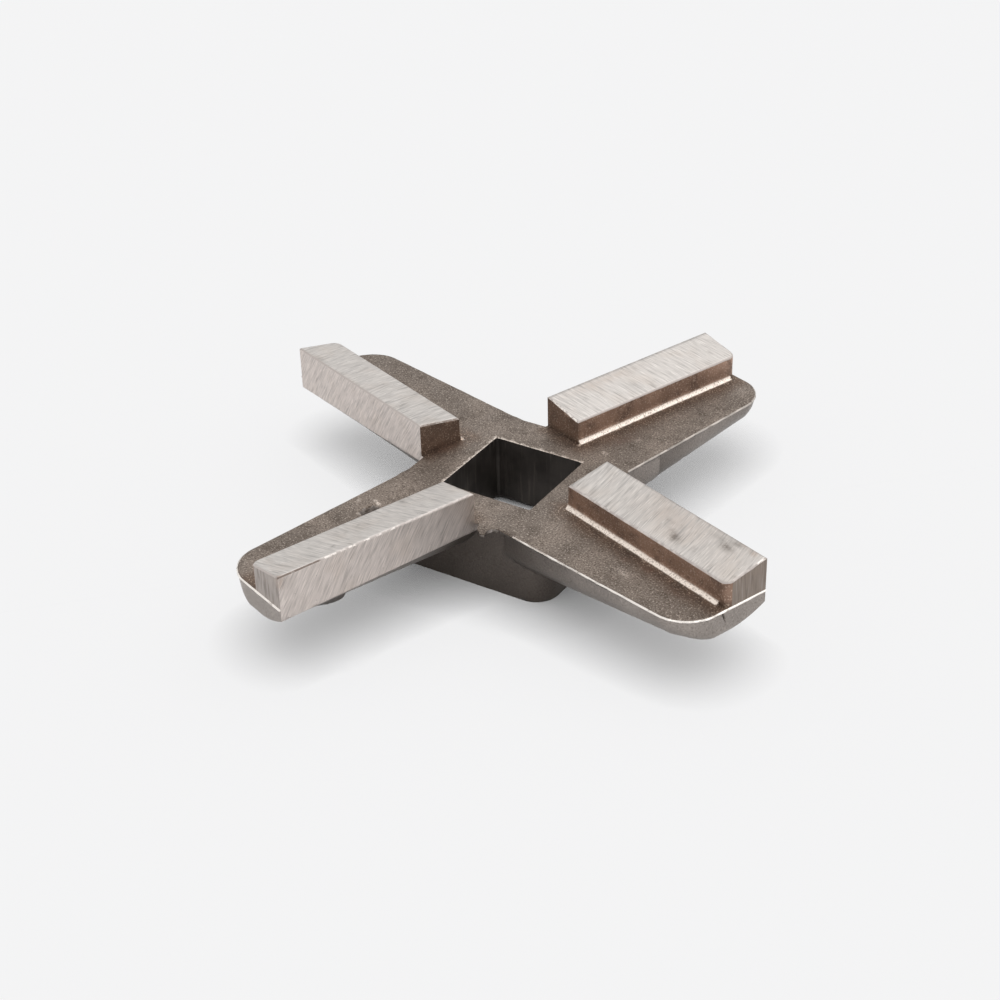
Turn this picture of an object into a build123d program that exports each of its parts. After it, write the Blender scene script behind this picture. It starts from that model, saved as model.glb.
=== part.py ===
from build123d import *
import os
from math import radians, sin, sqrt

# Driving dimensions, mm. The knife stands on its boss: z = 0 is the boss's bottom face and z runs up the
# bore, with the bore's flats along x and y. Every arm is drawn along its own centre line (u outwards, v to
# the leading side) and turned into place.
BORE = 10.0            # square bore across flats
BORE_CORNER = 0.35     # radius left in the bore's corners
BORE_LEAD = 0.65       # chamfer round the bore's lower mouth
TOP = 7.45             # arms' flat top plane, the casting's parting plane
BOSS = 18.0            # boss across flats at the bottom
BOSS_TOP = 18.6        # the same at the parting plane, after draft
BOSS_CORNER = 2.4      # boss corner radius
ARMS = 4
TURN = -20.0           # direction of the first arm, degrees from x

TIP = 30.12            # centre to the flat tip chord
LEAD = 4.92            # centre line to the ground cutting face
TRAIL = 7.93           # centre line to the trailing edge, measured at the centre
CLOSE = 0.109          # how much the trailing edge closes in per mm towards the tip
TIP_CORNER = 3.3       # plan radius of the trailing tip corner
BOW = 0.9              # rounding under the tip
BELLY = 7.0            # radius of the underside below the cutting face
DRAFT = 0.02           # how far the foot of the trailing wall lies inside its top edge
HUB_WALL = 2.7         # upright part of the trailing wall at the hub
HUB_ROUND = 2.15       # height of the rounding below it
HUB_SWEEP = 2.3        # and its width
HUB_FACE = 0.6         # depth of the cutting face below the top plane at the hub
END_WALL = 0.06        # the same four at the arm's end
END_ROUND = 2.95
END_SWEEP = 3.9
END_FACE = 1.31

LAND_IN = 8.45         # inner end of the land
LAND_BACK = 0.10       # centre line to the land's trailing side
LAND_LEAD_H = 3.41     # land height above the top plane at the cutting edge
LAND_BACK_H = 2.51     # the same at the trailing side, after the relief grind
LAND_ROOT = 0.8        # root fillet behind the land
LAND_NOSE = 0.9        # upright rounding of the land's outer trailing corner
LAND_EDGE = 0.13       # worn bevel round the land's ground top
LAND_SUNK = 0.5        # how far the land's block reaches down into the arm
FLASH = 0.13           # how far the parting line stands out of the cast sides
FLASH_DEEP = 0.14      # how thick it is
FLASH_DROP = 0.03      # and how far it lies under the top plane
SCRAP = 0.35           # thickness of the scrap of flash left in one crotch

INNER = 2.0            # the arms' sections start inside the hub
LAP = 0.3              # how far joined shapes reach into each other


def drawn_in(radius, u):
    """How far a rounding of this radius that ends at the tip has turned in at distance u."""
    past = min(radius, max(0.0, u - (TIP - radius)))
    return radius - sqrt(radius ** 2 - past ** 2)


def between(hub, end, u):
    """A value that goes evenly from the hub's to the arm's end."""
    return hub + (end - hub) * (u - INNER) / (TIP - INNER)


def section(u):
    """Outline across the arm at distance u: cutting face, flat top, trailing wall, rounded underside."""
    inset = drawn_in(TIP_CORNER, u)
    edge = CLOSE * u - TRAIL + inset
    wall = between(HUB_WALL, END_WALL, u)
    rounding = between(HUB_ROUND, END_ROUND, u) - drawn_in(BOW, u)
    width = between(HUB_SWEEP, END_SWEEP, u) - inset
    face = between(HUB_FACE, END_FACE, u)
    depth = wall + rounding
    rise = depth - face
    reach = sqrt(2 * BELLY * rise - rise ** 2)
    half = reach / 2
    drop = depth - BELLY + sqrt(BELLY ** 2 - half ** 2)
    foot = edge + DRAFT
    with BuildSketch(Plane(origin=(u, 0, TOP), x_dir=(0, 1, 0), z_dir=(1, 0, 0))) as outline:
        with BuildLine():
            Polyline((LEAD, -face), (LEAD, 0), (edge, 0), (foot, -wall))
            EllipticalCenterArc((foot + width, -wall), width, rounding, start_angle=180)
            Line((foot + width, -depth), (LEAD - reach, -depth))
            ThreePointArc((LEAD - reach, -depth), (LEAD - reach + half, -drop), (LEAD, -face))
        make_face()
    return outline.sketch


# One arm as cast: a tapering hull, and its end, where the trailing corner and the underside turn in. The
# end's sections stand at these angles round the corner.
with BuildPart() as shank:
    add(section(INNER))
    add(section(TIP - TIP_CORNER))
    loft(ruled=True)

with BuildPart() as tip:
    for turn in (0, 20, 40, 60, 75, 90):
        add(section(TIP - TIP_CORNER * (1 - sin(radians(turn)))))
    loft()

with BuildPart() as arm:
    add(shank.part)
    add(tip.part)

# The raised land: ground flat with its high edge at the cutting face, its outer trailing corner rounded.
with BuildPart() as land:
    with BuildSketch(Plane(origin=(LAND_IN, 0, TOP), x_dir=(0, 1, 0), z_dir=(1, 0, 0))):
        with BuildLine():
            Polyline(
                (LAND_BACK, -LAND_SUNK),
                (LEAD, -LAND_SUNK),
                (LEAD, LAND_LEAD_H),
                (LAND_BACK, LAND_BACK_H),
                close=True,
            )
        make_face()
    extrude(amount=TIP - LAND_IN)
    outer_corner = land.edges().filter_by(Axis.Z).group_by(Axis.X)[-1].sort_by(Axis.Y)[0]
    fillet(outer_corner, LAND_NOSE)

# The cast fillet in the corner behind the land.
with BuildPart() as cove:
    with BuildSketch(Plane(origin=(LAND_IN, 0, TOP), x_dir=(0, 1, 0), z_dir=(1, 0, 0))):
        with BuildLine():
            RadiusArc((LAND_BACK - LAND_ROOT, 0), (LAND_BACK, LAND_ROOT), -LAND_ROOT)
            Polyline(
                (LAND_BACK, LAND_ROOT),
                (LAND_BACK + LAP, LAND_ROOT),
                (LAND_BACK + LAP, -LAP),
                (LAND_BACK - LAND_ROOT, -LAP),
                (LAND_BACK - LAND_ROOT, 0),
            )
        make_face()
    extrude(amount=TIP - LAND_NOSE - LAND_IN)

with BuildPart() as blade:
    add(arm.part)
    add(land.part)
    add(cove.part)
    chamfer(blade.faces().sort_by(Axis.Z)[-1].edges(), LAND_EDGE)

# The parting line: a thin ridge left along the trailing edge and across the tip.
with BuildPart() as seam:
    with BuildSketch(Plane.XY.offset(TOP - FLASH_DROP)) as ridge:
        with BuildLine():
            Polyline(
                (0, 0),
                (TIP + FLASH, 0),
                (TIP + FLASH, CLOSE * TIP - TRAIL - FLASH),
                (0, -TRAIL - FLASH),
                close=True,
            )
        make_face()
        corner = ridge.vertices().group_by(Axis.X)[-1].sort_by(Axis.Y)[0]
        fillet(corner, TIP_CORNER + FLASH)
        with Locations((TIP + FLASH / 2, LEAD / 2)):
            Rectangle(FLASH, LEAD)
    extrude(amount=-FLASH_DEEP)

# A scrap of casting flash left standing in the crotch between the first and the last arm.
with BuildPart() as scrap:
    with BuildSketch(Plane.XY.offset(TOP)):
        with BuildLine():
            Polyline(
                (1.9, -8.5),
                (2.3, -10.1),
                (3.05, -10.8),
                (3.45, -10.7),
                (3.35, -10.1),
                (3.6, -9.5),
                (4.3, -8.5),
                close=True,
            )
        make_face()
    extrude(amount=-SCRAP)

with BuildPart() as knife:
    with BuildSketch():
        RectangleRounded(BOSS, BOSS, BOSS_CORNER)
    with BuildSketch(Plane.XY.offset(TOP)):
        RectangleRounded(BOSS_TOP, BOSS_TOP, BOSS_CORNER)
    loft(ruled=True)
    with PolarLocations(0, ARMS, start_angle=TURN):
        add(blade.part)
        add(seam.part)
    add(scrap.part)
    with BuildSketch():
        RectangleRounded(BORE, BORE, BORE_CORNER)
    extrude(amount=TOP + LAP, mode=Mode.SUBTRACT)
    mouth = knife.faces().sort_by(Axis.Z)[0].inner_wires()[0].edges()
    chamfer(mouth, BORE_LEAD)
knife.part.label = "knife"

os.makedirs("parts", exist_ok=True)
export_step(knife.part, "parts/knife.step")
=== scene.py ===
import math
from collections import namedtuple

import bmesh
import bpy
from bpy.props import FloatProperty, FloatVectorProperty, IntProperty, PointerProperty
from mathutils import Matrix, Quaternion, Vector, noise


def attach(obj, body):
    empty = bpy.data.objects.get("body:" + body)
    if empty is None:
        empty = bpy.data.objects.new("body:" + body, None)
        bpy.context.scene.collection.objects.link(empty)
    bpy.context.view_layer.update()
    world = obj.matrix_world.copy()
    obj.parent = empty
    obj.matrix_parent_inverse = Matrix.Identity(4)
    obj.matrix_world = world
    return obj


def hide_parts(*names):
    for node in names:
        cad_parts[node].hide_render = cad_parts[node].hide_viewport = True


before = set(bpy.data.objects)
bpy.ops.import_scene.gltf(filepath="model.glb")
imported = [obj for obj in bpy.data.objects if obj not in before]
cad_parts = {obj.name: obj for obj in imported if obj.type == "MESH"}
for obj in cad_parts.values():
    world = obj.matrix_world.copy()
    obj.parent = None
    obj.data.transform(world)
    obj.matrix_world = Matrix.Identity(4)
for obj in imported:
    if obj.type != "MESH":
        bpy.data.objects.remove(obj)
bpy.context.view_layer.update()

bl_info = {
    "name": "Grinder Knife",
    "version": (1, 0, 0),
    "blender": (4, 5, 0),
    "location": "3D View > Sidebar > Knife",
    "description": "Dresses a cast cross-shaped grinder knife and sets it on a plain stage",
    "category": "Object",
}

MM = 0.001                 # one millimetre in scene units

# The knife's own measures, in millimetres. Every arm is described in its own directions: u runs out along the
# arm from the bore's axis, v runs to the leading side, and h is the height above the arms' flat top plane.
ARM_TURN = -20.0           # direction of the first arm, in degrees from x
ARM_COUNT = 4
TOP_PLANE = 7.45           # height of the arms' flat top over the boss's bottom face
BORE_HALF = 5.0            # half the bore, across the flats
LAND_INNER = 8.45          # inner end of the raised land
LAND_BACK = 0.10           # v of the land's trailing side
CUTTING_FACE = 4.92        # v of the ground cutting face
TIP = 30.12                # u of the flat tip
NOSE = 0.9                 # rounding of the land's outer trailing corner
ROOT = 0.8                 # cast fillet behind the land
TRAIL = 7.93               # v of the trailing edge at the centre, and how it closes in per millimetre
TRAIL_CLOSE = 0.109
TIP_CORNER = 3.3           # plan radius of the trailing tip corner
RIDGE_LOW = -0.17          # lower face of the parting ridge
RIDGE_UPPER = -0.06        # between its upper and its lower face
RIDGE_SLOPE = 0.07         # how far its upper face falls outwards
RIDGE_OUT = 0.13           # how far the ridge stands out
RIDGE_WAVER = 0.05         # and by how much that varies
ON_LAND = 2.0              # heights over this are on a land's ground top or its bevel
BOSS_HALF = 9.45           # half the boss and its draft, across the flats
FRONT_LEFT, FRONT_RIGHT, BACK_RIGHT, BACK_LEFT = 3, 0, 1, 2   # the arms' numbers

MATERIAL_ORDER = (
    "cast_skin", "ground_top", "ground_side", "tip_face", "ground_edge", "parting_ridge", "bore_wall",
)

# Marks on single arms. long and wide are half sizes along u and v, depth is how strong the mark is.
Mark = namedtuple("Mark", "arm u v long wide depth")
TOP_STAINS = (
    Mark(FRONT_RIGHT, 21.75, 1.50, 0.55, 0.40, 1.00),
    Mark(FRONT_RIGHT, 21.10, 1.95, 0.70, 0.14, 0.50),
    Mark(FRONT_RIGHT, 19.9, 2.65, 0.75, 0.22, 0.35),
    Mark(FRONT_RIGHT, 24.35, 1.45, 0.30, 0.22, 0.50),
    Mark(FRONT_RIGHT, 26.40, 3.55, 0.80, 0.40, 0.75),
    Mark(FRONT_RIGHT, 25.40, 4.10, 1.60, 0.40, 0.35),
    Mark(FRONT_RIGHT, 26.85, 4.45, 0.80, 0.35, 0.60),
    Mark(FRONT_RIGHT, 24.60, 4.70, 1.40, 0.20, 0.35),
    Mark(FRONT_RIGHT, 16.90, 4.60, 1.60, 0.20, 0.30),
    Mark(FRONT_RIGHT, 29.90, 1.35, 0.16, 0.16, 0.50),
    Mark(FRONT_LEFT, 21.05, 2.14, 0.16, 0.16, 0.70),
    Mark(FRONT_LEFT, 23.45, 3.50, 0.18, 0.18, 0.70),
    Mark(FRONT_LEFT, 25.08, 2.15, 0.16, 0.14, 0.45),
    Mark(FRONT_LEFT, 19.30, 1.53, 0.14, 0.14, 0.45),
    Mark(FRONT_LEFT, 13.70, 0.75, 0.35, 0.45, 0.45),
    Mark(BACK_LEFT, 26.60, 4.60, 0.90, 0.22, 0.45),
)
TOP_RUST = (
    Mark(FRONT_RIGHT, 28.80, 4.55, 0.45, 0.30, 0.75),
    # The next two marks are broad and faint: they only make the middle and the outer part of the front right
    # arm's ground top darker and warmer.
    Mark(FRONT_RIGHT, 20.20, 3.30, 5.00, 2.20, 0.26),
    Mark(FRONT_RIGHT, 27.20, 2.60, 3.50, 2.60, 0.12),
    Mark(FRONT_RIGHT, 27.30, 4.80, 0.50, 0.14, 0.45),
    Mark(FRONT_RIGHT, 22.50, 4.75, 2.50, 0.12, 0.30),
    Mark(FRONT_LEFT, 29.90, 4.75, 0.30, 0.25, 0.70),
    Mark(BACK_RIGHT, 15.00, 4.00, 5.00, 0.60, 0.25),
)
SKIN_RUST = (
    Mark(FRONT_RIGHT, 21.36, -0.97, 0.28, 0.22, 0.95),
    Mark(FRONT_RIGHT, 20.75, -1.15, 0.24, 0.20, 0.80),
    Mark(FRONT_RIGHT, 19.94, -4.40, 0.16, 0.14, 0.70),
    Mark(FRONT_RIGHT, 18.30, -1.60, 0.80, 0.40, 0.30),
    Mark(FRONT_RIGHT, 25.50, -1.60, 1.20, 0.50, 0.35),
    Mark(BACK_RIGHT, 13.80, -3.05, 0.30, 0.24, 0.45),
    Mark(BACK_RIGHT, 12.50, -2.30, 1.60, 0.60, 0.40),
    Mark(BACK_LEFT, 8.10, 2.20, 0.50, 1.80, 0.50),
)
# Bright spots on the cast skin. The ones round the blow hole on the front left arm are painted glints; the
# others are rubbed spots.
SKIN_RUBBED_AND_GLINTS = (
    Mark(FRONT_RIGHT, 19.97, -3.12, 0.90, 0.30, 0.35),
    Mark(BACK_RIGHT, 9.24, -3.01, 0.28, 0.22, 0.80),
    Mark(BACK_RIGHT, 13.50, -3.30, 0.22, 0.16, 0.80),
    Mark(FRONT_LEFT, 15.71, -3.72, 0.22, 0.16, 1.00),
    Mark(FRONT_LEFT, 13.28, -4.42, 0.16, 0.30, 1.00),
    Mark(FRONT_LEFT, 13.34, -3.90, 0.16, 0.28, 1.00),
    Mark(FRONT_LEFT, 14.43, -5.69, 0.12, 0.12, 0.60),
)
# The blow hole in the skin of the front left arm, and the burr beside it.
BLOW_HOLE = Mark(FRONT_LEFT, 14.65, -3.66, 1.35, 0.66, 0.50)
BURR = Mark(FRONT_LEFT, 13.30, -4.20, 0.12, 0.50, 0.09)
# A thin scab of metal under the cutting face of the front left arm: it begins with a step and runs out.
SCAB_STEP, SCAB_END = 22.9, 26.3
SCAB_V, SCAB_WIDE, SCAB_DEEP = 3.35, 1.15, 0.42
# The mould's joint across the trailing wall of the back right arm.
JOINT_U, JOINT_STEP = 13.44, 0.13
# The crack down the tip of the front right arm.
CRACK_V, CRACK_LEAN, CRACK_WIDE, CRACK_DEEP, CRACK_END = -0.30, -0.32, 0.13, 0.20, -1.35

# Wear along the lands' edges: arm, side, where it begins and ends along the edge, and its tone, from -1,
# rusted brown, to 1, rubbed bright.
EdgeWear = namedtuple("EdgeWear", "arm side start end tone")
EDGE_WEAR = (
    EdgeWear(FRONT_LEFT, "leading", 25.6, 30.2, -0.75),
    EdgeWear(FRONT_LEFT, "leading", 17.0, 25.6, 0.7),
    EdgeWear(FRONT_LEFT, "leading", 8.0, 17.0, 0.25),
    EdgeWear(FRONT_LEFT, "outer", -1.0, 4.6, 0.15),
    EdgeWear(FRONT_LEFT, "outer", 4.6, 5.0, -0.8),
    EdgeWear(FRONT_LEFT, "back", 8.0, 30.2, -0.15),
    EdgeWear(FRONT_RIGHT, "back", 8.0, 24.0, 0.35),
    EdgeWear(FRONT_RIGHT, "back", 24.0, 30.2, 0.15),
    EdgeWear(FRONT_RIGHT, "inner", -1.0, 5.0, 0.2),
    EdgeWear(FRONT_RIGHT, "leading", 8.0, 30.2, -0.35),
    EdgeWear(FRONT_RIGHT, "outer", -1.0, 3.9, 0.1),
    EdgeWear(FRONT_RIGHT, "outer", 3.9, 5.0, 0.9),
    EdgeWear(BACK_RIGHT, "inner", 0.4, 4.6, 0.95),
    EdgeWear(BACK_RIGHT, "inner", -1.0, 0.4, -0.8),
    EdgeWear(BACK_RIGHT, "leading", 8.0, 30.2, -0.3),
    EdgeWear(BACK_RIGHT, "back", 8.0, 30.2, -0.1),
    EdgeWear(BACK_LEFT, "inner", -1.0, 5.0, -0.7),
    EdgeWear(BACK_LEFT, "leading", 8.0, 30.2, 0.0),
    EdgeWear(BACK_LEFT, "back", 8.0, 30.2, -0.2),
)
# Each arm's parting ridge brightness: rubbed metal and a painted highlight together.
RIDGE_SHINE = {FRONT_LEFT: 0.55, FRONT_RIGHT: 1.0, BACK_RIGHT: 0.35, BACK_LEFT: 0.30}
TIP_DULLNESS = {FRONT_LEFT: 0.25, FRONT_RIGHT: 0.95, BACK_RIGHT: 0.7, BACK_LEFT: 0.5}


def arm_axes(number):
    """Directions of an arm's u and v, in the frame's x and y."""
    turn = math.radians(ARM_TURN + number * 360.0 / ARM_COUNT)
    return Vector((math.cos(turn), math.sin(turn), 0.0)), Vector((-math.sin(turn), math.cos(turn), 0.0))


AXES = [arm_axes(number) for number in range(ARM_COUNT)]
UP = Vector((0.0, 0.0, 1.0))


def place_on_arm(point):
    """(arm number, u, v, h) in millimetres for a point in metres, on the arm that it lies furthest out on."""
    mm = point / MM
    number = max(range(ARM_COUNT), key=lambda k: mm.dot(AXES[k][0]))
    along, across = AXES[number]
    return number, mm.dot(along), mm.dot(across), mm.z - TOP_PLANE


def trailing_edge(u):
    """v of the trailing edge at u."""
    return TRAIL_CLOSE * u - TRAIL


def rim_outline():
    """Points of the parting line round an arm's trailing tip corner, as (u, v)."""
    points = [(0.0, trailing_edge(0.0))]
    for turn in range(0, 91, 5):
        u = TIP - TIP_CORNER * (1.0 - math.sin(math.radians(turn)))
        inset = TIP_CORNER * (1.0 - math.cos(math.radians(turn)))
        points.append((u, trailing_edge(u) + inset))
    return [Vector(point) for point in points + [(TIP, 6.0)]]


RIM = rim_outline()


def off_rim(u, v):
    """The way from the parting line to a place, as a vector in u and v, and whether it leads outwards."""
    place = Vector((u, v))
    best = None
    for start, end in zip(RIM, RIM[1:]):
        run = end - start
        part = min(1.0, max(0.0, (place - start).dot(run) / run.length_squared))
        way = place - (start + run * part)
        if best is None or way.length_squared < best[0].length_squared:
            best = (way, way.x * run.y - way.y * run.x > 0.0)
    return best


def inside_rim(u, v):
    """Distance from the parting line, positive on the arm's top, negative out on the ridge."""
    way, outwards = off_rim(u, v)
    return -way.length if outwards else way.length


def ramp(value, low, high):
    """0 below low, 1 above high, smooth between."""
    t = min(1.0, max(0.0, (value - low) / (high - low)))
    return t * t * (3.0 - 2.0 * t)


def on_mark(mark, number, u, v):
    """How strongly a mark shows at a place: its depth in its middle, fading out round it."""
    if number != mark.arm:
        return 0.0
    away = ((u - mark.u) / mark.long) ** 2 + ((v - mark.v) / mark.wide) ** 2
    return mark.depth * math.exp(-away)


def strongest(marks, number, u, v):
    """The strongest of several marks at a place."""
    return max(on_mark(mark, number, u, v) for mark in marks)


class KnifeFinish(bpy.types.PropertyGroup):
    """Colours and grain of the knife's surfaces."""

    cell: FloatProperty(
        name="Mesh cell", description="Spacing of the cuts that divide the surface, in millimetres",
        default=0.40, min=0.2, max=2.0,
    )
    skin_relief: FloatProperty(
        name="Skin relief", description="How far the cast skin swells and sinks, in millimetres",
        default=0.030, min=0.0, max=0.2,
    )
    edge_wear: FloatProperty(
        name="Edge wear", description="How far the ground edges are nicked, in millimetres",
        default=0.07, min=0.0, max=0.3,
    )
    skin_colour: FloatVectorProperty(
        name="Cast skin", description="Colour of the cast skin on the arms' tops", subtype="COLOR",
        default=(0.235, 0.192, 0.160), min=0.0, max=1.0,
    )
    skin_dark: FloatVectorProperty(
        name="Cast skin, dark", description="Colour of the specks and hollows in the cast skin",
        subtype="COLOR", default=(0.085, 0.064, 0.050), min=0.0, max=1.0,
    )
    under_colour: FloatVectorProperty(
        name="Cast skin, under", description="Colour of the smoother skin below the parting line",
        subtype="COLOR", default=(0.335, 0.298, 0.272), min=0.0, max=1.0,
    )
    # Brown of the patina and painted shade round the foot of the lands; also the rusted brown of worn land
    # edges.
    root_colour: FloatVectorProperty(
        name="Root", description="Brown of the skin round the foot of the lands", subtype="COLOR",
        default=(0.140, 0.094, 0.068), min=0.0, max=1.0,
    )
    wall_colour: FloatVectorProperty(
        name="Land walls", description="Brown of the cast walls behind the lands", subtype="COLOR",
        default=(0.375, 0.245, 0.180), min=0.0, max=1.0,
    )
    rust_colour: FloatVectorProperty(
        name="Rust", description="Colour of the rust spots", subtype="COLOR",
        default=(0.130, 0.052, 0.030), min=0.0, max=1.0,
    )
    steel_colour: FloatVectorProperty(
        name="Ground steel", description="Colour of the ground tops", subtype="COLOR",
        default=(0.60, 0.565, 0.535), min=0.0, max=1.0,
    )
    side_colour: FloatVectorProperty(
        name="Cutting faces", description="Colour of the ground cutting faces", subtype="COLOR",
        default=(0.60, 0.54, 0.505), min=0.0, max=1.0,
    )
    stain_colour: FloatVectorProperty(
        name="Stain", description="Colour of the dark stains on the ground faces", subtype="COLOR",
        default=(0.13, 0.115, 0.10), min=0.0, max=1.0,
    )
    seed: IntProperty(name="Seed", description="Seed of the surface's unevenness", default=7, min=0)


class StageSetup(bpy.types.PropertyGroup):
    """Floor, surroundings and camera."""

    floor_colour: FloatVectorProperty(
        name="Floor", description="Colour of the floor", subtype="COLOR",
        default=(0.900, 0.900, 0.905), min=0.0, max=1.0,
    )
    backdrop_colour: FloatVectorProperty(
        name="Backdrop", description="Colour of the backdrop as the camera sees it", subtype="COLOR",
        default=(0.905, 0.905, 0.910), min=0.0, max=1.0,
    )
    # Shadow reach and shadow lift set the painted shadow that the camera sees on the floor.
    shadow_reach: FloatProperty(
        name="Shadow reach", description="How far from the knife the soft shadow reaches, in millimetres",
        default=6.5, min=1.0,
    )
    shadow_lift: FloatProperty(
        name="Shadow lift", description="How much of the floor's look comes from the short soft shadow",
        default=0.85, min=0.0, max=1.0,
    )
    side_light: FloatProperty(
        name="Side light", description="Strength of the light from all round", default=0.86, min=0.0,
    )
    top_light: FloatProperty(
        name="Top light", description="Strength of the light from the soft box overhead",
        default=1.40, min=0.0,
    )
    lens: FloatProperty(
        name="Lens", description="Focal length of the camera", subtype="DISTANCE_CAMERA", default=72.1,
    )
    distance: FloatProperty(
        name="Distance", description="Camera to its aim, in millimetres", default=196.27, min=10.0,
    )
    azimuth: FloatProperty(
        name="Azimuth", description="Camera's direction round the knife", subtype="ANGLE",
        default=math.radians(32.86),
    )
    elevation: FloatProperty(
        name="Elevation", description="Camera's height angle", subtype="ANGLE", default=math.radians(32.0),
    )
    roll: FloatProperty(
        name="Roll", description="Camera's turn about its own view", subtype="ANGLE",
        default=math.radians(-1.653),
    )


# --- materials -----------------------------------------------------------------------------------------

class Graph:
    """A small helper that lays out one material's nodes."""

    def __init__(self, name):
        self.material = bpy.data.materials.new(name)
        self.material.use_nodes = True
        self.tree = self.material.node_tree
        self.tree.nodes.clear()
        self.output = self.tree.nodes.new("ShaderNodeOutputMaterial")
        self.shader = self.tree.nodes.new("ShaderNodeBsdfPrincipled")
        self.link(self.shader.outputs["BSDF"], self.output.inputs["Surface"])

    def link(self, out, into):
        self.tree.links.new(out, into)

    def feed(self, socket, value):
        """A socket takes another node's output or a plain value."""
        if isinstance(value, bpy.types.NodeSocket):
            self.link(value, socket)
        else:
            socket.default_value = value

    def attribute(self, name, output="Fac"):
        node = self.tree.nodes.new("ShaderNodeAttribute")
        node.attribute_name = name
        return node.outputs[output]

    def position(self):
        return self.tree.nodes.new("ShaderNodeTexCoord").outputs["Object"]

    def parts(self, vector):
        node = self.tree.nodes.new("ShaderNodeSeparateXYZ")
        self.link(vector, node.inputs[0])
        return node.outputs[0], node.outputs[1], node.outputs[2]

    def stretch(self, vector, scale):
        node = self.tree.nodes.new("ShaderNodeMapping")
        self.link(vector, node.inputs["Vector"])
        node.inputs["Scale"].default_value = scale
        return node.outputs["Vector"]

    def noise(self, vector, scale, detail=3.0, rough=0.5, warp=0.0):
        node = self.tree.nodes.new("ShaderNodeTexNoise")
        self.link(vector, node.inputs["Vector"])
        node.inputs["Scale"].default_value = scale
        node.inputs["Detail"].default_value = detail
        node.inputs["Roughness"].default_value = rough
        node.inputs["Distortion"].default_value = warp
        return node.outputs["Fac"]

    def band(self, value, low, high, to_low=0.0, to_high=1.0):
        """value between low and high, spread smoothly over to_low and to_high."""
        node = self.tree.nodes.new("ShaderNodeMapRange")
        node.interpolation_type = "SMOOTHSTEP"
        self.feed(node.inputs["Value"], value)
        node.inputs["From Min"].default_value = low
        node.inputs["From Max"].default_value = high
        node.inputs["To Min"].default_value = to_low
        node.inputs["To Max"].default_value = to_high
        return node.outputs["Result"]

    def times(self, a, b):
        node = self.tree.nodes.new("ShaderNodeMath")
        node.operation = "MULTIPLY"
        self.feed(node.inputs[0], a)
        self.feed(node.inputs[1], b)
        return node.outputs[0]

    def mix(self, fac, a, b):
        node = self.tree.nodes.new("ShaderNodeMix")
        node.data_type = "RGBA"
        self.feed(node.inputs["Factor"], fac)
        self.feed(node.inputs[6], a if isinstance(a, bpy.types.NodeSocket) else (*a, 1.0))
        self.feed(node.inputs[7], b if isinstance(b, bpy.types.NodeSocket) else (*b, 1.0))
        return node.outputs[2]

    def blend(self, fac, a, b):
        """Number a where fac is 0, b where it is 1."""
        node = self.tree.nodes.new("ShaderNodeMix")
        node.data_type = "FLOAT"
        self.feed(node.inputs["Factor"], fac)
        self.feed(node.inputs[2], a)
        self.feed(node.inputs[3], b)
        return node.outputs[0]

    def bump(self, height, depth, under=None):
        """Surface normal from a height, over an earlier bump. depth is in millimetres."""
        node = self.tree.nodes.new("ShaderNodeBump")
        self.link(height, node.inputs["Height"])
        node.inputs["Distance"].default_value = depth * MM
        node.inputs["Strength"].default_value = 1.0
        if under is not None:
            self.link(under, node.inputs["Normal"])
        return node.outputs["Normal"]


def scaled(colour, factor):
    """A colour made lighter or darker."""
    return [min(1.0, factor * c) for c in colour]


def varied(g, cloud, limits, colour, factors):
    """A colour that goes from its darker to its lighter form with a cloud."""
    darker, lighter = factors
    return g.mix(g.band(cloud, *limits), scaled(colour, darker), scaled(colour, lighter))


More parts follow.
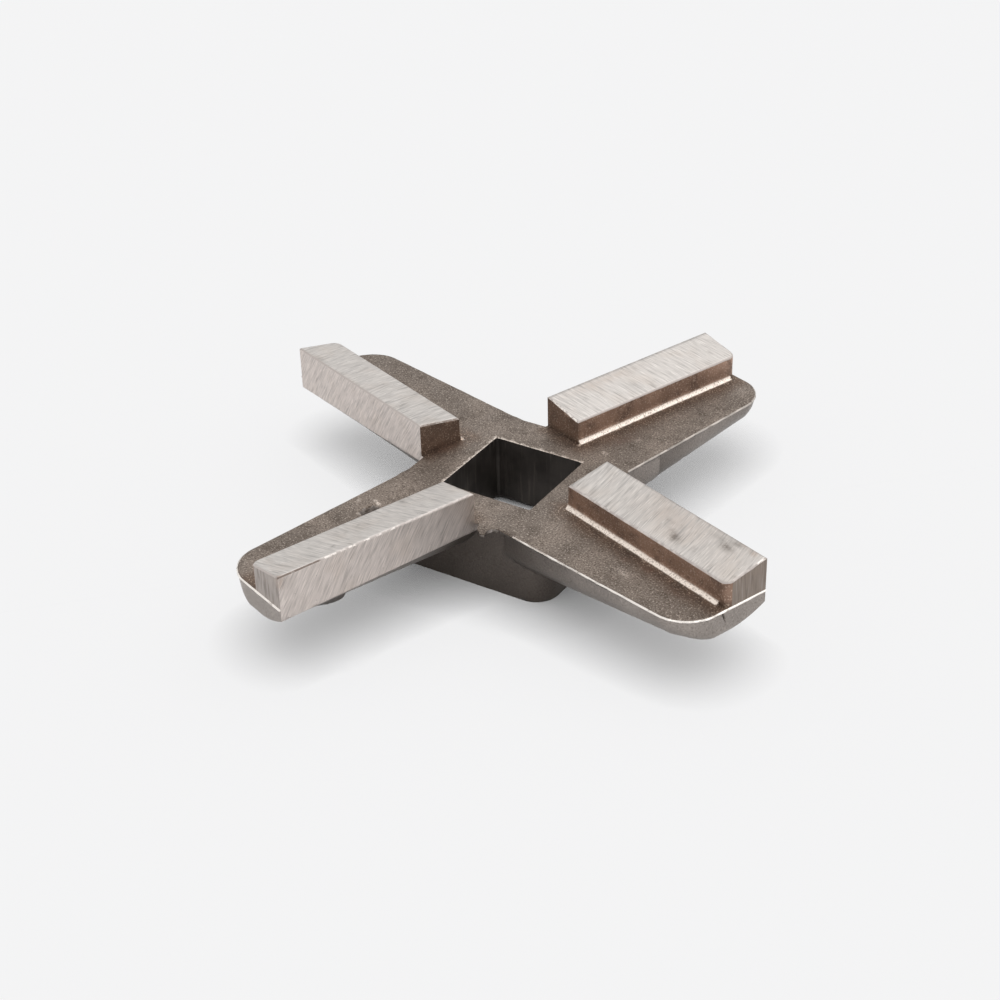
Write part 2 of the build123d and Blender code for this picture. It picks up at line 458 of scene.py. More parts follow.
def cast_skin(finish):
    """Brown-grey casting skin: bright and dark grain, brown roots with painted shade, a smoother grey
    underside, worn places; painted shade on the boss, under the arms and in flaws, painted glints and a
    painted highlight along each fillet's foot.
    """
    g = Graph("cast_skin")
    place = g.position()
    grain = g.noise(place, 6200.0, 1.0, 0.65)
    cloud = g.noise(place, 190.0, 2.0, 0.55)
    blotch = g.noise(place, 640.0, 2.0, 0.6)
    colour = varied(g, cloud, (0.35, 0.68), finish.skin_colour, (0.84, 1.14))
    colour = g.mix(g.band(blotch, 0.52, 0.75, 0.0, 0.45), colour, finish.skin_dark)
    under = varied(g, cloud, (0.35, 0.68), finish.under_colour, (0.86, 1.10))
    side = g.attribute("side")
    colour = g.mix(side, colour, under)
    light_grain = g.times(g.band(grain, 0.56, 0.72, 0.0, 0.75), g.band(side, 0.0, 1.0, 1.0, 0.6))
    colour = g.mix(light_grain, colour, (0.52, 0.45, 0.39))
    dark_grain = g.times(g.band(grain, 0.47, 0.30, 0.0, 0.85), g.band(side, 0.0, 1.0, 1.0, 0.45))
    colour = g.mix(dark_grain, colour, finish.skin_dark)
    # Brown roots: brown patina and painted shade at the foot of the lands.
    brown = varied(g, blotch, (0.35, 0.65), finish.root_colour, (0.70, 1.25))
    brown = g.mix(g.band(grain, 0.55, 0.70, 0.0, 0.8), brown, (0.50, 0.38, 0.29))
    colour = g.mix(g.times(g.attribute("root"), g.band(blotch, 0.25, 0.60, 0.75, 1.0)), colour, brown)
    wall = varied(g, cloud, (0.38, 0.62), finish.wall_colour, (0.80, 1.12))
    wall = g.mix(g.band(blotch, 0.47, 0.66, 0.0, 0.60), wall, scaled(finish.wall_colour, 0.35))
    wall = g.mix(g.band(grain, 0.55, 0.72, 0.0, 0.6), wall, (0.72, 0.55, 0.45))
    colour = g.mix(g.attribute("wall"), colour, wall)
    # Painted shade: on the boss, under the arms near the hub, in the blow hole, the crack and the scab; a tone
    # step on the back right arm's wall.
    colour = g.mix(g.times(g.attribute("dark"), 0.90), colour, scaled(finish.skin_dark, 0.55))
    colour = g.mix(g.times(g.attribute("rust"), g.band(grain, 0.35, 0.55)), colour, finish.rust_colour)
    # Rubbed spots, with painted glints beside the blow hole and a painted highlight on the bore's rim.
    worn = g.times(g.attribute("worn"), g.band(grain, 0.38, 0.56, 0.35, 1.0))
    # A painted highlight along the foot of the fillet behind each land, given as a rubbed bright line.
    u, v, h = g.parts(g.attribute("arm_place", "Vector"))
    foot = g.times(g.band(v, -0.38, -0.27), g.band(v, 0.05, -0.05))
    foot = g.times(foot, g.attribute("fillet"))
    foot = g.times(foot, g.band(grain, 0.30, 0.52, 0.45, 1.0))
    # bright takes the larger of the rubbed spots with painted glints and the painted highlight line.
    bright = g.tree.nodes.new("ShaderNodeMath")
    bright.operation = "MAXIMUM"
    g.link(worn, bright.inputs[0])
    g.link(foot, bright.inputs[1])
    bright = bright.outputs[0]
    colour = g.mix(bright, colour, (1.0, 0.88, 0.78))
    g.link(colour, g.shader.inputs["Base Color"])
    g.shader.inputs["Metallic"].default_value = 0.80
    roughness = g.band(blotch, 0.3, 0.7, 0.44, 0.58)
    roughness = g.blend(side, roughness, 0.36)
    g.link(g.blend(bright, roughness, 0.30), g.shader.inputs["Roughness"])
    g.link(g.bump(grain, 0.045), g.shader.inputs["Normal"])
    return g.material


def ground_steel(name, finish, colour_of_steel, dull=False):
    """Ground steel: fine scratches side by side, a few deep ones, faint tints, stains and rust."""
    g = Graph(name)
    place = g.attribute("grind_place", "Vector")
    lines = g.stretch(place, (1.0, 0.07, 1.0))
    fine = g.noise(lines, 8.5, 1.0, 0.75)
    middle = g.noise(lines, 4.2, 1.0, 0.7)
    broad = g.noise(g.stretch(place, (1.0, 0.16, 1.0)), 1.1, 1.0, 0.6)
    cloud = g.noise(place, 0.30, 2.0, 0.5)
    pits = g.noise(place, 3.4, 2.0, 0.6)
    base = colour_of_steel
    colour = g.mix(g.band(middle, 0.33, 0.67), scaled(base, 0.90), scaled(base, 1.09))
    colour = g.mix(g.band(fine, 0.45, 0.30, 0.0, 0.45), colour, scaled(base, 0.52))
    colour = g.mix(g.band(fine, 0.55, 0.70, 0.0, 0.50), colour, scaled(base, 1.45))
    deep = g.times(g.band(middle, 0.37, 0.29), g.band(cloud, 0.38, 0.62, 0.15, 0.60))
    colour = g.mix(deep, colour, scaled(base, 0.42))
    colour = g.mix(g.band(broad, 0.45, 0.70, 0.0, 0.30), colour, scaled(base, 1.25))
    colour = g.mix(g.band(cloud, 0.48, 0.72, 0.0, 0.22), colour, (0.56, 0.47, 0.40))
    colour = g.mix(g.band(pits, 0.68, 0.77, 0.0, 0.45), colour, finish.stain_colour)
    if dull:
        colour = g.mix(g.attribute("dull"), colour, scaled(finish.skin_colour, 1.05))
        colour = g.mix(g.band(middle, 0.54, 0.68, 0.0, 0.45), colour, scaled(base, 0.85))
        colour = g.mix(g.band(middle, 0.46, 0.32, 0.0, 0.45), colour, scaled(finish.skin_colour, 0.6))
    smear = g.times(g.attribute("stain"), g.band(pits, 0.30, 0.52, 0.45, 1.0))
    colour = g.mix(smear, colour, finish.stain_colour)
    rust = g.times(g.attribute("rust"), g.band(middle, 0.32, 0.58, 0.35, 1.0))
    colour = g.mix(rust, colour, (0.36, 0.24, 0.17))
    g.link(colour, g.shader.inputs["Base Color"])
    g.shader.inputs["Metallic"].default_value = 0.92
    g.link(g.band(broad, 0.3, 0.7, 0.36, 0.46), g.shader.inputs["Roughness"])
    g.link(g.bump(fine, 0.014), g.shader.inputs["Normal"])
    return g.material


def ground_edge(finish):
    """The lands' worn edges: rubbed bright or rusted brown, in broken dashes."""
    g = Graph("ground_edge")
    place = g.position()
    dash = g.noise(place, 1500.0, 3.0, 0.6)
    bright = g.times(g.attribute("edge_bright"), g.band(dash, 0.47, 0.57))
    brown = g.times(g.attribute("edge_brown"), g.band(dash, 0.30, 0.50, 0.4, 1.0))
    colour = g.mix(bright, scaled(finish.side_colour, 0.92), (1.0, 0.93, 0.87))
    colour = g.mix(brown, colour, scaled(finish.root_colour, 0.9))
    g.link(colour, g.shader.inputs["Base Color"])
    g.shader.inputs["Metallic"].default_value = 0.92
    g.link(g.blend(bright, 0.42, 0.26), g.shader.inputs["Roughness"])
    g.link(g.bump(dash, 0.02), g.shader.inputs["Normal"])
    return g.material


def parting_ridge():
    """Bright edge of the parting line: rubbed metal, with a painted highlight in its bright colour."""
    g = Graph("parting_ridge")
    place = g.position()
    rub = g.noise(place, 1100.0, 3.0, 0.6)
    reach = g.attribute("rim_bright")
    bright = g.times(reach, g.band(rub, 0.30, 0.48, 0.35, 1.0))
    colour = g.mix(bright, (0.34, 0.29, 0.25), (1.0, 0.94, 0.88))
    g.link(colour, g.shader.inputs["Base Color"])
    g.shader.inputs["Metallic"].default_value = 0.92
    g.link(g.blend(bright, 0.45, 0.25), g.shader.inputs["Roughness"])
    g.link(g.bump(rub, 0.02), g.shader.inputs["Normal"])
    return g.material


def bore_wall():
    """Broached walls of the bore, near-black with painted shade, with fine upright tool marks."""
    g = Graph("bore_wall")
    place = g.position()
    marks = g.noise(g.stretch(place, (1.0, 1.0, 0.06)), 2600.0, 4.0, 0.6)
    cloud = g.noise(place, 260.0, 3.0, 0.5)
    # Painted shade: the walls' base colour is near-black.
    colour = g.mix(g.band(cloud, 0.35, 0.7), (0.040, 0.034, 0.030), (0.085, 0.074, 0.066))
    colour = g.mix(g.band(marks, 0.52, 0.72, 0.0, 0.55), colour, (0.17, 0.145, 0.125))
    g.link(colour, g.shader.inputs["Base Color"])
    g.shader.inputs["Metallic"].default_value = 0.6
    g.shader.inputs["Roughness"].default_value = 0.48
    g.link(g.bump(marks, 0.02), g.shader.inputs["Normal"])
    return g.material


# --- the knife's surface -------------------------------------------------------------------------------

def cut_into_cells(edit, cell):
    """Cuts the whole surface along three sets of planes, two of them square to the arms."""
    span = 31.0
    along, across = AXES[0]
    for direction, low, high in ((along, -span, span), (across, -span, span), (UP, 0.0, 11.0)):
        steps = int((high - low) / cell)
        for step in range(1, steps):
            everything = edit.verts[:] + edit.edges[:] + edit.faces[:]
            at = direction * ((low + (high - low) * step / steps) * MM)
            bmesh.ops.bisect_plane(edit, geom=everything, dist=2e-7, plane_co=at, plane_no=direction)


# Places that are cut finer, with their arm, their range of u, v and h, and the spacing of the cuts along each.
# A spacing of 0 leaves that direction uncut.
FineRegion = namedtuple("FineRegion", "arm u v h cells")
FINE_REGIONS = (
    FineRegion(FRONT_LEFT, (12.8, 16.6), (-4.9, -2.6), (-0.02, 0.02), (0.13, 0.13, 0.0)),
    FineRegion(FRONT_RIGHT, (29.2, 31.0), (-0.75, 0.45), (-1.7, 0.01), (0.0, 0.06, 0.2)),
    FineRegion(BACK_RIGHT, (13.15, 13.75), (-8.0, -5.0), (-6.0, 0.01), (0.06, 0.0, 0.0)),
    FineRegion(FRONT_LEFT, (22.6, 26.6), (1.9, 4.93), (-5.0, -0.5), (0.14, 0.16, 0.0)),
)


def cut_finer(edit, region):
    """Cuts the faces of one region by more planes."""
    along, across = AXES[region.arm]
    faces = [face for face in edit.faces if lies_in(face, region)]
    geometry = dict.fromkeys(faces)
    for face in faces:
        geometry.update(dict.fromkeys(face.edges))
        geometry.update(dict.fromkeys(face.verts))
    geometry = list(geometry)
    spans = ((along, region.u, 0.0), (across, region.v, 0.0), (UP, region.h, TOP_PLANE))
    for (direction, (low, high), base), cell in zip(spans, region.cells):
        steps = round((high - low) / cell) if cell > 0.0 else -1
        for step in range(steps + 1):
            at = direction * ((base + low + (high - low) * step / steps) * MM)
            result = bmesh.ops.bisect_plane(edit, geom=geometry, dist=2e-7, plane_co=at, plane_no=direction)
            geometry = result["geom"]


def lies_in(face, region):
    """Whether a face's middle is in a region."""
    number, u, v, h = place_on_arm(face.calc_center_median())
    if number != region.arm:
        return False
    return all(low <= x <= high for x, (low, high) in zip((u, v, h), (region.u, region.v, region.h)))


def finish_of(face):
    """Which material a face of the knife takes."""
    centre = face.calc_center_median()
    number, u, v, h = place_on_arm(centre)
    along, across = AXES[number]
    normal = face.normal
    if h > ON_LAND and normal.z > 0.9:
        return "ground_top"
    if h > ON_LAND and normal.z > 0.3:
        return "ground_edge"
    if u > LAND_INNER - 0.6 and v > CUTTING_FACE - 0.03 and normal.dot(across) > 0.97:
        return "ground_side"
    if u > TIP - 0.02 and h > 0.0 and normal.dot(along) > 0.9:
        return "tip_face"
    if RIDGE_LOW - 0.02 < h < 0.01 and u > 9.0 and inside_rim(u, v) < -0.005:
        return "parting_ridge"
    if max(abs(centre.x), abs(centre.y)) < (BORE_HALF + 0.02) * MM and abs(normal.z) < 0.5:
        return "bore_wall"
    return "cast_skin"


FLAT_FINISHES = ("ground_top", "ground_side", "tip_face", "bore_wall")


def kept_planes(vertex):
    """Directions in which a point may not move: across the ground faces, bore walls and the boss's bottom."""
    kept = []
    for face in vertex.link_faces:
        flat = MATERIAL_ORDER[face.material_index] in FLAT_FINISHES
        if not flat and not (vertex.co.z < 1e-5 and face.normal.z < -0.9):
            continue
        rest = face.normal.copy()
        for known in kept:
            rest -= known * rest.dot(known)
        if rest.length > 0.05 and len(kept) < 3:
            kept.append(rest.normalized())
    return kept


def swell(point, seed):
    """Unevenness of a casting, from -1 to 1, at a point in millimetres."""
    here = point + Vector((seed * 3.1, seed * 1.7, seed * 2.3))
    return 0.75 * noise.noise(here * 0.33) + 0.40 * noise.noise(here * 1.15) + 0.20 * noise.noise(here * 2.9)


def hollowed(mark, u, v, here):
    """How deep a blow hole goes in at a place, from 0 at its ragged rim to 1 inside it."""
    away = math.hypot((u - mark.u) / mark.long, (v - mark.v) / mark.wide)
    away += 0.16 * noise.noise(here * 1.9)
    return 1.0 - ramp(away, 0.45, 1.02)


def by_blow_hole(number, u, v):
    """Whether a place is near enough to the blow hole to be shaped by it."""
    return number == BLOW_HOLE.arm and abs(u - BLOW_HOLE.u) < 2.4 and abs(v - BLOW_HOLE.v) < 1.5


def skin_move(number, u, v, h, here, normal, finish):
    """How far the cast skin lies off the smooth casting at a place, in millimetres, as a vector."""
    along, across = AXES[number]
    move = normal * (finish.skin_relief * swell(here, finish.seed))
    if abs(h) < 0.05 and by_blow_hole(number, u, v):
        move -= UP * (BLOW_HOLE.depth * hollowed(BLOW_HOLE, u, v, here))
        move += UP * on_mark(BURR, number, u, v)
    if number == FRONT_RIGHT and u > TIP - 0.6 and CRACK_END - 0.2 < h < -0.15:
        middle = CRACK_V + CRACK_LEAN * (h + 0.17)
        depth = 1.0 - ramp(abs(v - middle), 0.02, CRACK_WIDE)
        move -= along * (CRACK_DEEP * depth * ramp(h, CRACK_END - 0.15, CRACK_END + 0.3))
    if number == BACK_RIGHT and h < -0.15 and 9.0 < u < JOINT_U + 0.3 and normal.dot(across) < -0.1:
        step = 1.0 - ramp(u, JOINT_U - 0.06, JOINT_U + 0.06)
        move -= across * (JOINT_STEP * step * ramp(u, 9.2, 12.2) * ramp(-h, 0.15, 0.30))
    if number == FRONT_LEFT and SCAB_STEP - 0.3 < u < SCAB_END + 0.3 and h < -0.8:
        length = ramp(u, SCAB_STEP - 0.10, SCAB_STEP + 0.08) * (1.0 - ramp(u, SCAB_STEP + 1.0, SCAB_END))
        width = 1.0 - ramp(abs(v - SCAB_V), 0.55 * SCAB_WIDE, SCAB_WIDE)
        move -= UP * (SCAB_DEEP * length * width * (1.0 + 0.3 * noise.noise(here * 2.1)))
    return move


def ridge_move(number, u, v, h, here):
    """Gives the parting ridge the same width all along, slopes its upper face outwards and lets it waver."""
    way, outwards = off_rim(u, v)
    if not outwards or way.length < 0.01:
        return Vector()
    along, across = AXES[number]
    out = min(1.0, way.length / RIDGE_OUT)
    wanted = (RIDGE_OUT + RIDGE_WAVER * noise.noise(here * 1.3)) * out
    change = way.normalized() * (wanted - way.length)
    move = along * change.x + across * change.y
    return move - UP * (RIDGE_SLOPE * out) if h > RIDGE_UPPER else move


def edge_side(u, v):
    """Which of the land's edges a place on its bevel belongs to, and where along it."""
    gaps = {"leading": CUTTING_FACE - v, "back": v - LAND_BACK, "inner": u - LAND_INNER, "outer": TIP - u}
    side = min(gaps, key=gaps.get)
    return side, u if side in ("leading", "back") else v


def shape_surface(edit, finish):
    """Gives the smooth casting its unevenness and its flaws, and nicks its ground edges."""
    moves = {}
    for vertex in edit.verts:
        here = vertex.co / MM
        number, u, v, h = place_on_arm(vertex.co)
        along, across = AXES[number]
        names = {MATERIAL_ORDER[face.material_index] for face in vertex.link_faces}
        move = Vector()
        if "cast_skin" in names or "parting_ridge" in names:
            move = skin_move(number, u, v, h, here, vertex.normal, finish)
        if "parting_ridge" in names:
            move = ridge_move(number, u, v, h, here)
        if "ground_edge" in names and "ground_top" not in names:
            nick = max(0.0, noise.noise(here * 1.7) + 0.35 * noise.noise(here * 4.3) - 0.12)
            move -= UP * (finish.edge_wear * nick)
        for plane in kept_planes(vertex):
            move -= plane * move.dot(plane)
        moves[vertex] = move * MM
    for vertex, move in moves.items():
        vertex.co += move


class KNIFE_OT_dress(bpy.types.Operator):
    """Build the knife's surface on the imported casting, with its skin, grinding, wear and blemishes"""

    bl_idname = "knife.dress"
    bl_label = "Dress the knife"

    def execute(self, context):
        finish = context.scene.knife_finish
        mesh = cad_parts["knife"].data.copy()
        mesh.name = "knife_casting"
        mesh.materials.clear()
        edit = bmesh.new()
        edit.from_mesh(mesh)
        bmesh.ops.remove_doubles(edit, verts=edit.verts, dist=1e-7)
        bmesh.ops.dissolve_limit(
            edit, angle_limit=math.radians(0.3), use_dissolve_boundaries=False,
            verts=edit.verts, edges=edit.edges,
        )
        cut_into_cells(edit, finish.cell)
        for region in FINE_REGIONS:
            cut_finer(edit, region)
        edit.normal_update()
        for face in edit.faces:
            face.material_index = MATERIAL_ORDER.index(finish_of(face))
            face.smooth = True
        shape_surface(edit, finish)
        edit.to_mesh(mesh)
        edit.free()
        add_places(mesh)
        add_marks(mesh)
        add_edges(mesh)
        materials = {
            "cast_skin": cast_skin(finish),
            "ground_top": ground_steel("ground_top", finish, finish.steel_colour),
            "ground_side": ground_steel("ground_side", finish, finish.side_colour),
            "tip_face": ground_steel("tip_face", finish, scaled(finish.side_colour, 0.72), dull=True),
            "ground_edge": ground_edge(finish),
            "parting_ridge": parting_ridge(),
            "bore_wall": bore_wall(),
        }
        for name in MATERIAL_ORDER:
            mesh.materials.append(materials[name])
        mesh.set_sharp_from_angle(angle=math.radians(32.0))
        piece = bpy.data.objects.new("knife_casting", mesh)
        context.scene.collection.objects.link(piece)
        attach(piece, "root")
        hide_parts("knife")
        return {"FINISHED"}


def grind_lines(kind, number, u, v, h):
    """Place on a ground face, in millimetres: across its scratches, along them, and its arm."""
    if kind == "ground_side":
        lean = math.radians(30.0)
        across, along = u, h
    elif kind == "tip_face":
        lean = math.radians(-2.0)
        across, along = v, h
    else:
        lean = math.radians(10.0)
        across, along = u, v
    s = across * math.cos(lean) + along * math.sin(lean) + 0.012 * along * along
    t = along * math.cos(lean) - across * math.sin(lean)
    return s, t, 20.0 * number


def add_places(mesh):
    """Stores at each point its place on its arm, and at each face's corners its place along the grinding."""
    points = []
    for vertex in mesh.vertices:
        points.extend(place_on_arm(vertex.co)[1:])
    place = mesh.attributes.new("arm_place", "FLOAT_VECTOR", "POINT")
    place.data.foreach_set("vector", points)
    spots = [0.0] * (3 * len(mesh.loops))
    sides = [0.0] * len(mesh.loops)
    for face in mesh.polygons:
        kind = MATERIAL_ORDER[face.material_index]
        number, u, v, h = place_on_arm(face.center)
        along, across = AXES[number]
        for corner in face.loop_indices:
            mm = mesh.vertices[mesh.loops[corner].vertex_index].co / MM
            spot = grind_lines(kind, number, mm.dot(along), mm.dot(across), mm.z - TOP_PLANE)
            spots[3 * corner:3 * corner + 3] = spot
            sides[corner] = 1.0 if h < RIDGE_LOW + 0.02 else 0.0
    grind = mesh.attributes.new("grind_place", "FLOAT_VECTOR", "CORNER")
    grind.data.foreach_set("vector", spots)
    side = mesh.attributes.new("side", "FLOAT", "CORNER")
    side.data.foreach_set("value", sides)


def root_shade(u, v, h):
    """How brown the cast skin is round the land's foot, brown patina and painted shade of that corner
    together: full on the walls behind the land, fading out over the arm's top.
    """
    if h < -0.1 or u < LAND_INNER - 2.0 or v > CUTTING_FACE + 0.1:
        return 0.0
    away_u = max(0.0, LAND_INNER - u)
    away_v = max(0.0, LAND_BACK - ROOT * 0.6 - v)
    return 0.85 * (1.0 - ramp(math.hypot(away_u, away_v), 0.1, 2.3))


def on_wall(number, u, v, h):
    """How much the wall behind a land, or at its inner end, shows its own brown."""
    if h < 0.05 or u < LAND_INNER - 0.3:
        return 0.0
    at_end = u < LAND_INNER + 0.02
    strength = {BACK_LEFT: 0.35, BACK_RIGHT: 0.55}.get(number, 1.0) if at_end else 1.0
    return strength * ramp(h, 0.05, 0.55)


def painted_shade_and_tone(number, u, v, h, here):
    """Painted shade on the cast skin at a place: on the boss and on the arms' undersides near the hub, under
    the arms, and inside the blow hole, along the crack and on the scab; on the back right arm's trailing wall
    it also holds the darker tone past the mould's joint.
    """
    if h < -0.2 and max(abs(here.x), abs(here.y)) < BOSS_HALF:
        return 0.84
    if abs(h + 0.3) < 0.35 and by_blow_hole(number, u, v):
        return hollowed(BLOW_HOLE, u, v, here)
    if number == FRONT_LEFT and SCAB_STEP - 0.1 < u < SCAB_END and h < -1.4 and abs(v - SCAB_V) < SCAB_WIDE:
        return 1.0 - ramp(u, SCAB_END - 1.2, SCAB_END + 0.2)
    if number == FRONT_RIGHT and u > TIP - 0.6 and CRACK_END < h < -0.17:
        return 0.65 * (1.0 - ramp(abs(v - CRACK_V - CRACK_LEAN * (h + 0.17)), 0.03, 0.10))
    if h > -0.17:
        return 0.0
    if number == BACK_RIGHT and v < trailing_edge(u) + 1.5:
        return 0.30 if u < JOINT_U else 0.34 + 0.36 * (1.0 - ramp(u, JOINT_U, JOINT_U + 7.0))
    return 0.85 * (1.0 - ramp(u, 7.0, 24.0))


def rim_shine(number, u):
    """How bright the parting ridge is painted, per arm: rubbed metal and the painted highlight each arm's
    ridge catches; the front left arm's ridge is brightest round its tip.
    """
    at_tip = ramp(u, TIP - 5.0, TIP - 2.0) if number == FRONT_LEFT else 0.0
    return max(RIDGE_SHINE[number], at_tip)


def by_bore(here):
    """Whether a place is on the narrow rim along the bore's two far sides, painted bright: rubbed metal and a
    painted highlight together.
    """
    far_side = max(-here.x, here.y) > BORE_HALF - 0.05
    return far_side and max(abs(here.x), abs(here.y)) < BORE_HALF + 0.12


def store(mesh, name, values):
    """Stores one number for each point of the mesh."""
    layer = mesh.attributes.new(name, "FLOAT", "POINT")
    layer.data.foreach_set("value", values)


def add_marks(mesh):
    """Stores at each point how brown, rusted, stained or rubbed the surface is there, and how much painted
    shade and painted highlight it takes.
    """
    names = ("root", "dark", "rust", "worn", "stain", "dull", "fillet", "rim_bright", "wall")
    marks = {name: [0.0] * len(mesh.vertices) for name in names}
    for at, vertex in enumerate(mesh.vertices):
        number, u, v, h = place_on_arm(vertex.co)
        here = vertex.co / MM
        marks["root"][at] = root_shade(u, v, h)
        # Painted shade, with a real tone step on the back right arm's trailing wall.
        marks["dark"][at] = painted_shade_and_tone(number, u, v, h, here)
        marks["dull"][at] = TIP_DULLNESS[number]
        marks["rim_bright"][at] = rim_shine(number, u)
        marks["wall"][at] = on_wall(number, u, v, h)
        if h > ON_LAND:
            marks["stain"][at] = strongest(TOP_STAINS, number, u, v)
            marks["rust"][at] = strongest(TOP_RUST, number, u, v)
        elif -0.6 < h < 0.4:
            marks["rust"][at] = strongest(SKIN_RUST, number, u, v)
            # The bore's far rim is painted bright: rubbed metal and a painted highlight.
            rubbed = h > -0.05 and by_bore(here)
            # Rubbed spots and the bore's rim, with painted glints round the blow hole.
            marks["worn"][at] = 0.9 if rubbed else strongest(SKIN_RUBBED_AND_GLINTS, number, u, v)
        # The fillet's foot, where the painted highlight line goes.
        on_fillet = 0.0 <= h < 0.8 and LAND_INNER - 0.2 < u < TIP - NOSE
        marks["fillet"][at] = 1.0 if on_fillet else 0.0
    for name in names:
        store(mesh, name, marks[name])


def add_edges(mesh):
    """Stores at each point how bright or brown the lands' edges are worn."""
    bright = [0.0] * len(mesh.vertices)
    brown = [0.0] * len(mesh.vertices)
    for at, vertex in enumerate(mesh.vertices):
        number, u, v, h = place_on_arm(vertex.co)
        if h < ON_LAND:
            continue
        side, along_edge = edge_side(u, v)
        for wear in EDGE_WEAR:
            if wear.arm == number and wear.side == side and wear.start <= along_edge < wear.end:
                bright[at] = max(0.0, wear.tone)
                brown[at] = max(0.0, -wear.tone)
    store(mesh, "edge_bright", bright)
    store(mesh, "edge_brown", brown)


# --- the stage -----------------------------------------------------------------------------------------

class KNIFE_OT_stage(bpy.types.Operator):
    """Set the floor, the surroundings and the camera"""

    bl_idname = "knife.stage"
    bl_label = "Set the stage"

    def execute(self, context):
        setup = context.scene.knife_stage
        make_floor(setup)
        make_surroundings(context.scene, setup)
        make_camera(context.scene, setup)
        context.scene.view_settings.view_transform = "Standard"
        return {"FINISHED"}


def make_floor(setup):
    """A wide pale floor. As the camera sees it, it is mostly an emission darkened by ambient occlusion near
    the knife, a painted shadow, mixed with the floor's real shading; to other rays it is plain diffuse.
    """
    half = 4.0
    mesh = bpy.data.meshes.new("floor")
    corners = [(-half, -half, 0.0), (half, -half, 0.0), (half, half, 0.0), (-half, half, 0.0)]
    mesh.from_pydata(corners, [], [(0, 1, 2, 3)])
    floor = bpy.data.objects.new("floor", mesh)
    bpy.context.scene.collection.objects.link(floor)
    g = Graph("floor_paper")
    g.shader.inputs["Base Color"].default_value = (*setup.floor_colour, 1.0)
    g.shader.inputs["Roughness"].default_value = 0.9
    g.shader.inputs["Specular IOR Level"].default_value = 0.1
    # Painted shadow: to the camera the floor is an emission whose colour ambient occlusion darkens near the
    # knife.
    painted_shadow_occlusion = g.tree.nodes.new("ShaderNodeAmbientOcclusion")
    painted_shadow_occlusion.samples = 1
    painted_shadow_occlusion.inputs["Distance"].default_value = setup.shadow_reach * MM
    seen = g.tree.nodes.new("ShaderNodeEmission")
    painted_shadow_level = g.band(painted_shadow_occlusion.outputs["AO"], 0.05, 0.95)
    colour = g.mix(painted_shadow_level, scaled(setup.floor_colour, 0.01), setup.floor_colour)
    g.link(colour, seen.inputs["Color"])
    mix = g.tree.nodes.new("ShaderNodeMixShader")
    path = g.tree.nodes.new("ShaderNodeLightPath")
    g.link(g.times(path.outputs["Is Camera Ray"], setup.shadow_lift), mix.inputs["Fac"])
    g.link(g.shader.outputs["BSDF"], mix.inputs[1])
    g.link(seen.outputs[0], mix.inputs[2])
    g.link(mix.outputs[0], g.output.inputs["Surface"])
    mesh.materials.append(g.material)


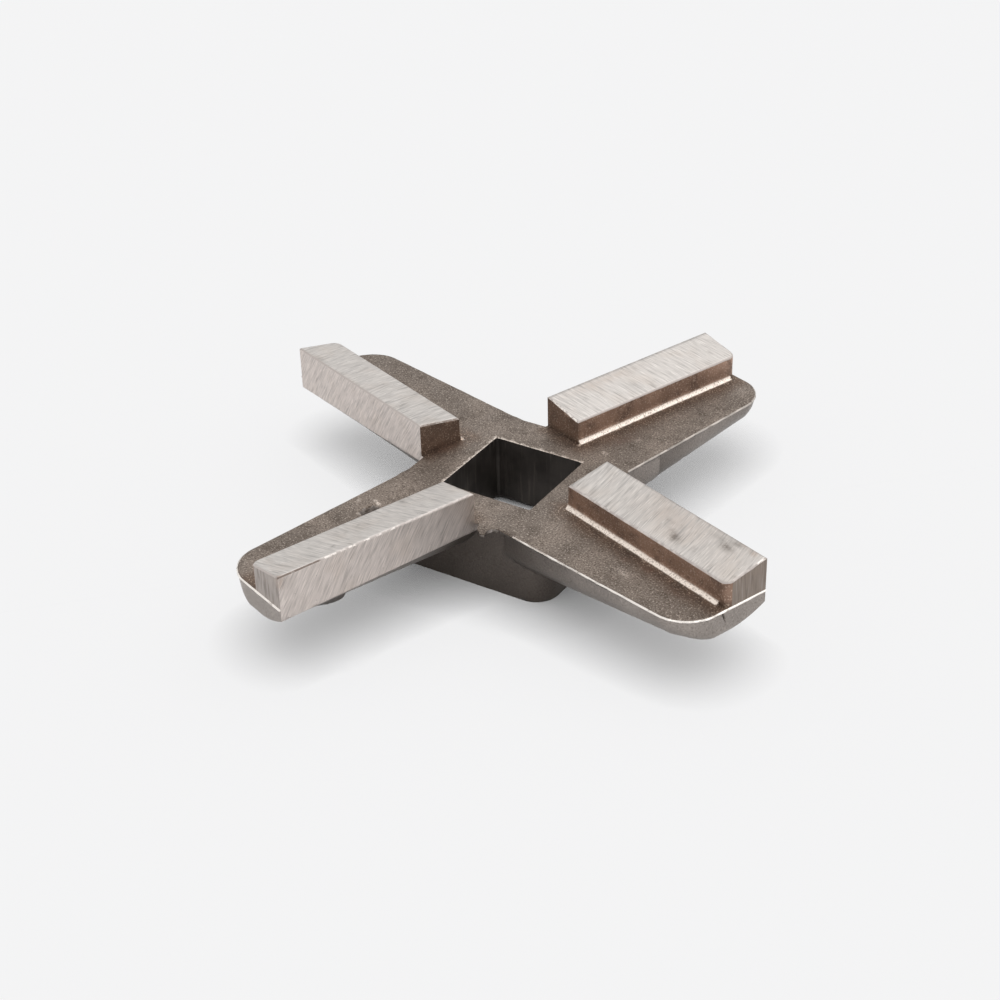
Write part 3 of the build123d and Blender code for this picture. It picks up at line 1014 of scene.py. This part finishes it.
def make_surroundings(scene, setup):
    """Even pale light from all round and a large soft light overhead; the camera sees a plain backdrop."""
    world = bpy.data.worlds.new("surroundings")
    world.use_nodes = True
    scene.world = world
    tree = world.node_tree
    tree.nodes.clear()
    direction = tree.nodes.new("ShaderNodeTexCoord").outputs["Generated"]
    towards = tree.nodes.new("ShaderNodeVectorMath")
    towards.operation = "DOT_PRODUCT"
    tree.links.new(direction, towards.inputs[0])
    towards.inputs[1].default_value = Vector((0.25, 0.45, 0.86)).normalized()
    level = tree.nodes.new("ShaderNodeMapRange")
    level.interpolation_type = "SMOOTHSTEP"
    tree.links.new(towards.outputs["Value"], level.inputs["Value"])
    level.inputs["From Min"].default_value = math.cos(math.radians(50.0))
    level.inputs["From Max"].default_value = math.cos(math.radians(22.0))
    level.inputs["To Min"].default_value = setup.side_light
    level.inputs["To Max"].default_value = setup.top_light
    lit = tree.nodes.new("ShaderNodeBackground")
    lit.inputs["Color"].default_value = (1.0, 1.0, 1.0, 1.0)
    tree.links.new(level.outputs["Result"], lit.inputs["Strength"])
    seen = tree.nodes.new("ShaderNodeBackground")
    seen.inputs["Color"].default_value = (*setup.backdrop_colour, 1.0)
    path = tree.nodes.new("ShaderNodeLightPath")
    mix = tree.nodes.new("ShaderNodeMixShader")
    tree.links.new(path.outputs["Is Camera Ray"], mix.inputs["Fac"])
    tree.links.new(lit.outputs[0], mix.inputs[1])
    tree.links.new(seen.outputs[0], mix.inputs[2])
    out = tree.nodes.new("ShaderNodeOutputWorld")
    tree.links.new(mix.outputs[0], out.inputs["Surface"])


def make_camera(scene, setup):
    """The camera looks down at the knife over its front arms."""
    aim = Vector((-0.54, -1.47, 5.93)) * MM
    flat = math.cos(setup.elevation)
    sideways, forwards = math.sin(setup.azimuth) * flat, -math.cos(setup.azimuth) * flat
    back = Vector((sideways, forwards, math.sin(setup.elevation)))
    lens = bpy.data.cameras.new("camera")
    lens.sensor_width = 36.0
    lens.lens = setup.lens
    lens.shift_x = -0.0005
    lens.shift_y = -0.0085
    lens.clip_start = 0.01
    lens.clip_end = 20.0
    camera = bpy.data.objects.new("camera", lens)
    scene.collection.objects.link(camera)
    camera.location = aim + back * (setup.distance * MM)
    camera.rotation_mode = "QUATERNION"
    camera.rotation_quaternion = back.to_track_quat("Z", "Y") @ Quaternion((0, 0, 1), setup.roll)
    scene.camera = camera


class KNIFE_PT_panel(bpy.types.Panel):
    """Lists the steps that make the knife and its stage"""

    bl_idname = "KNIFE_PT_panel"
    bl_label = "Grinder knife"
    bl_space_type = "VIEW_3D"
    bl_region_type = "UI"
    bl_category = "Knife"

    def draw(self, context):
        self.layout.operator(KNIFE_OT_dress.bl_idname)
        self.layout.operator(KNIFE_OT_stage.bl_idname)
        for group in (context.scene.knife_finish, context.scene.knife_stage):
            column = self.layout.column()
            for name in group.bl_rna.properties.keys():
                if name not in ("rna_type", "name"):
                    column.prop(group, name)


CLASSES = (KnifeFinish, StageSetup, KNIFE_OT_dress, KNIFE_OT_stage, KNIFE_PT_panel)


def register():
    for kind in CLASSES:
        bpy.utils.register_class(kind)
    bpy.types.Scene.knife_finish = PointerProperty(type=KnifeFinish)
    bpy.types.Scene.knife_stage = PointerProperty(type=StageSetup)


def unregister():
    del bpy.types.Scene.knife_stage
    del bpy.types.Scene.knife_finish
    for kind in reversed(CLASSES):
        bpy.utils.unregister_class(kind)


def main():
    register()
    bpy.ops.knife.dress()
    bpy.ops.knife.stage()


if __name__ == "__main__":
    main()
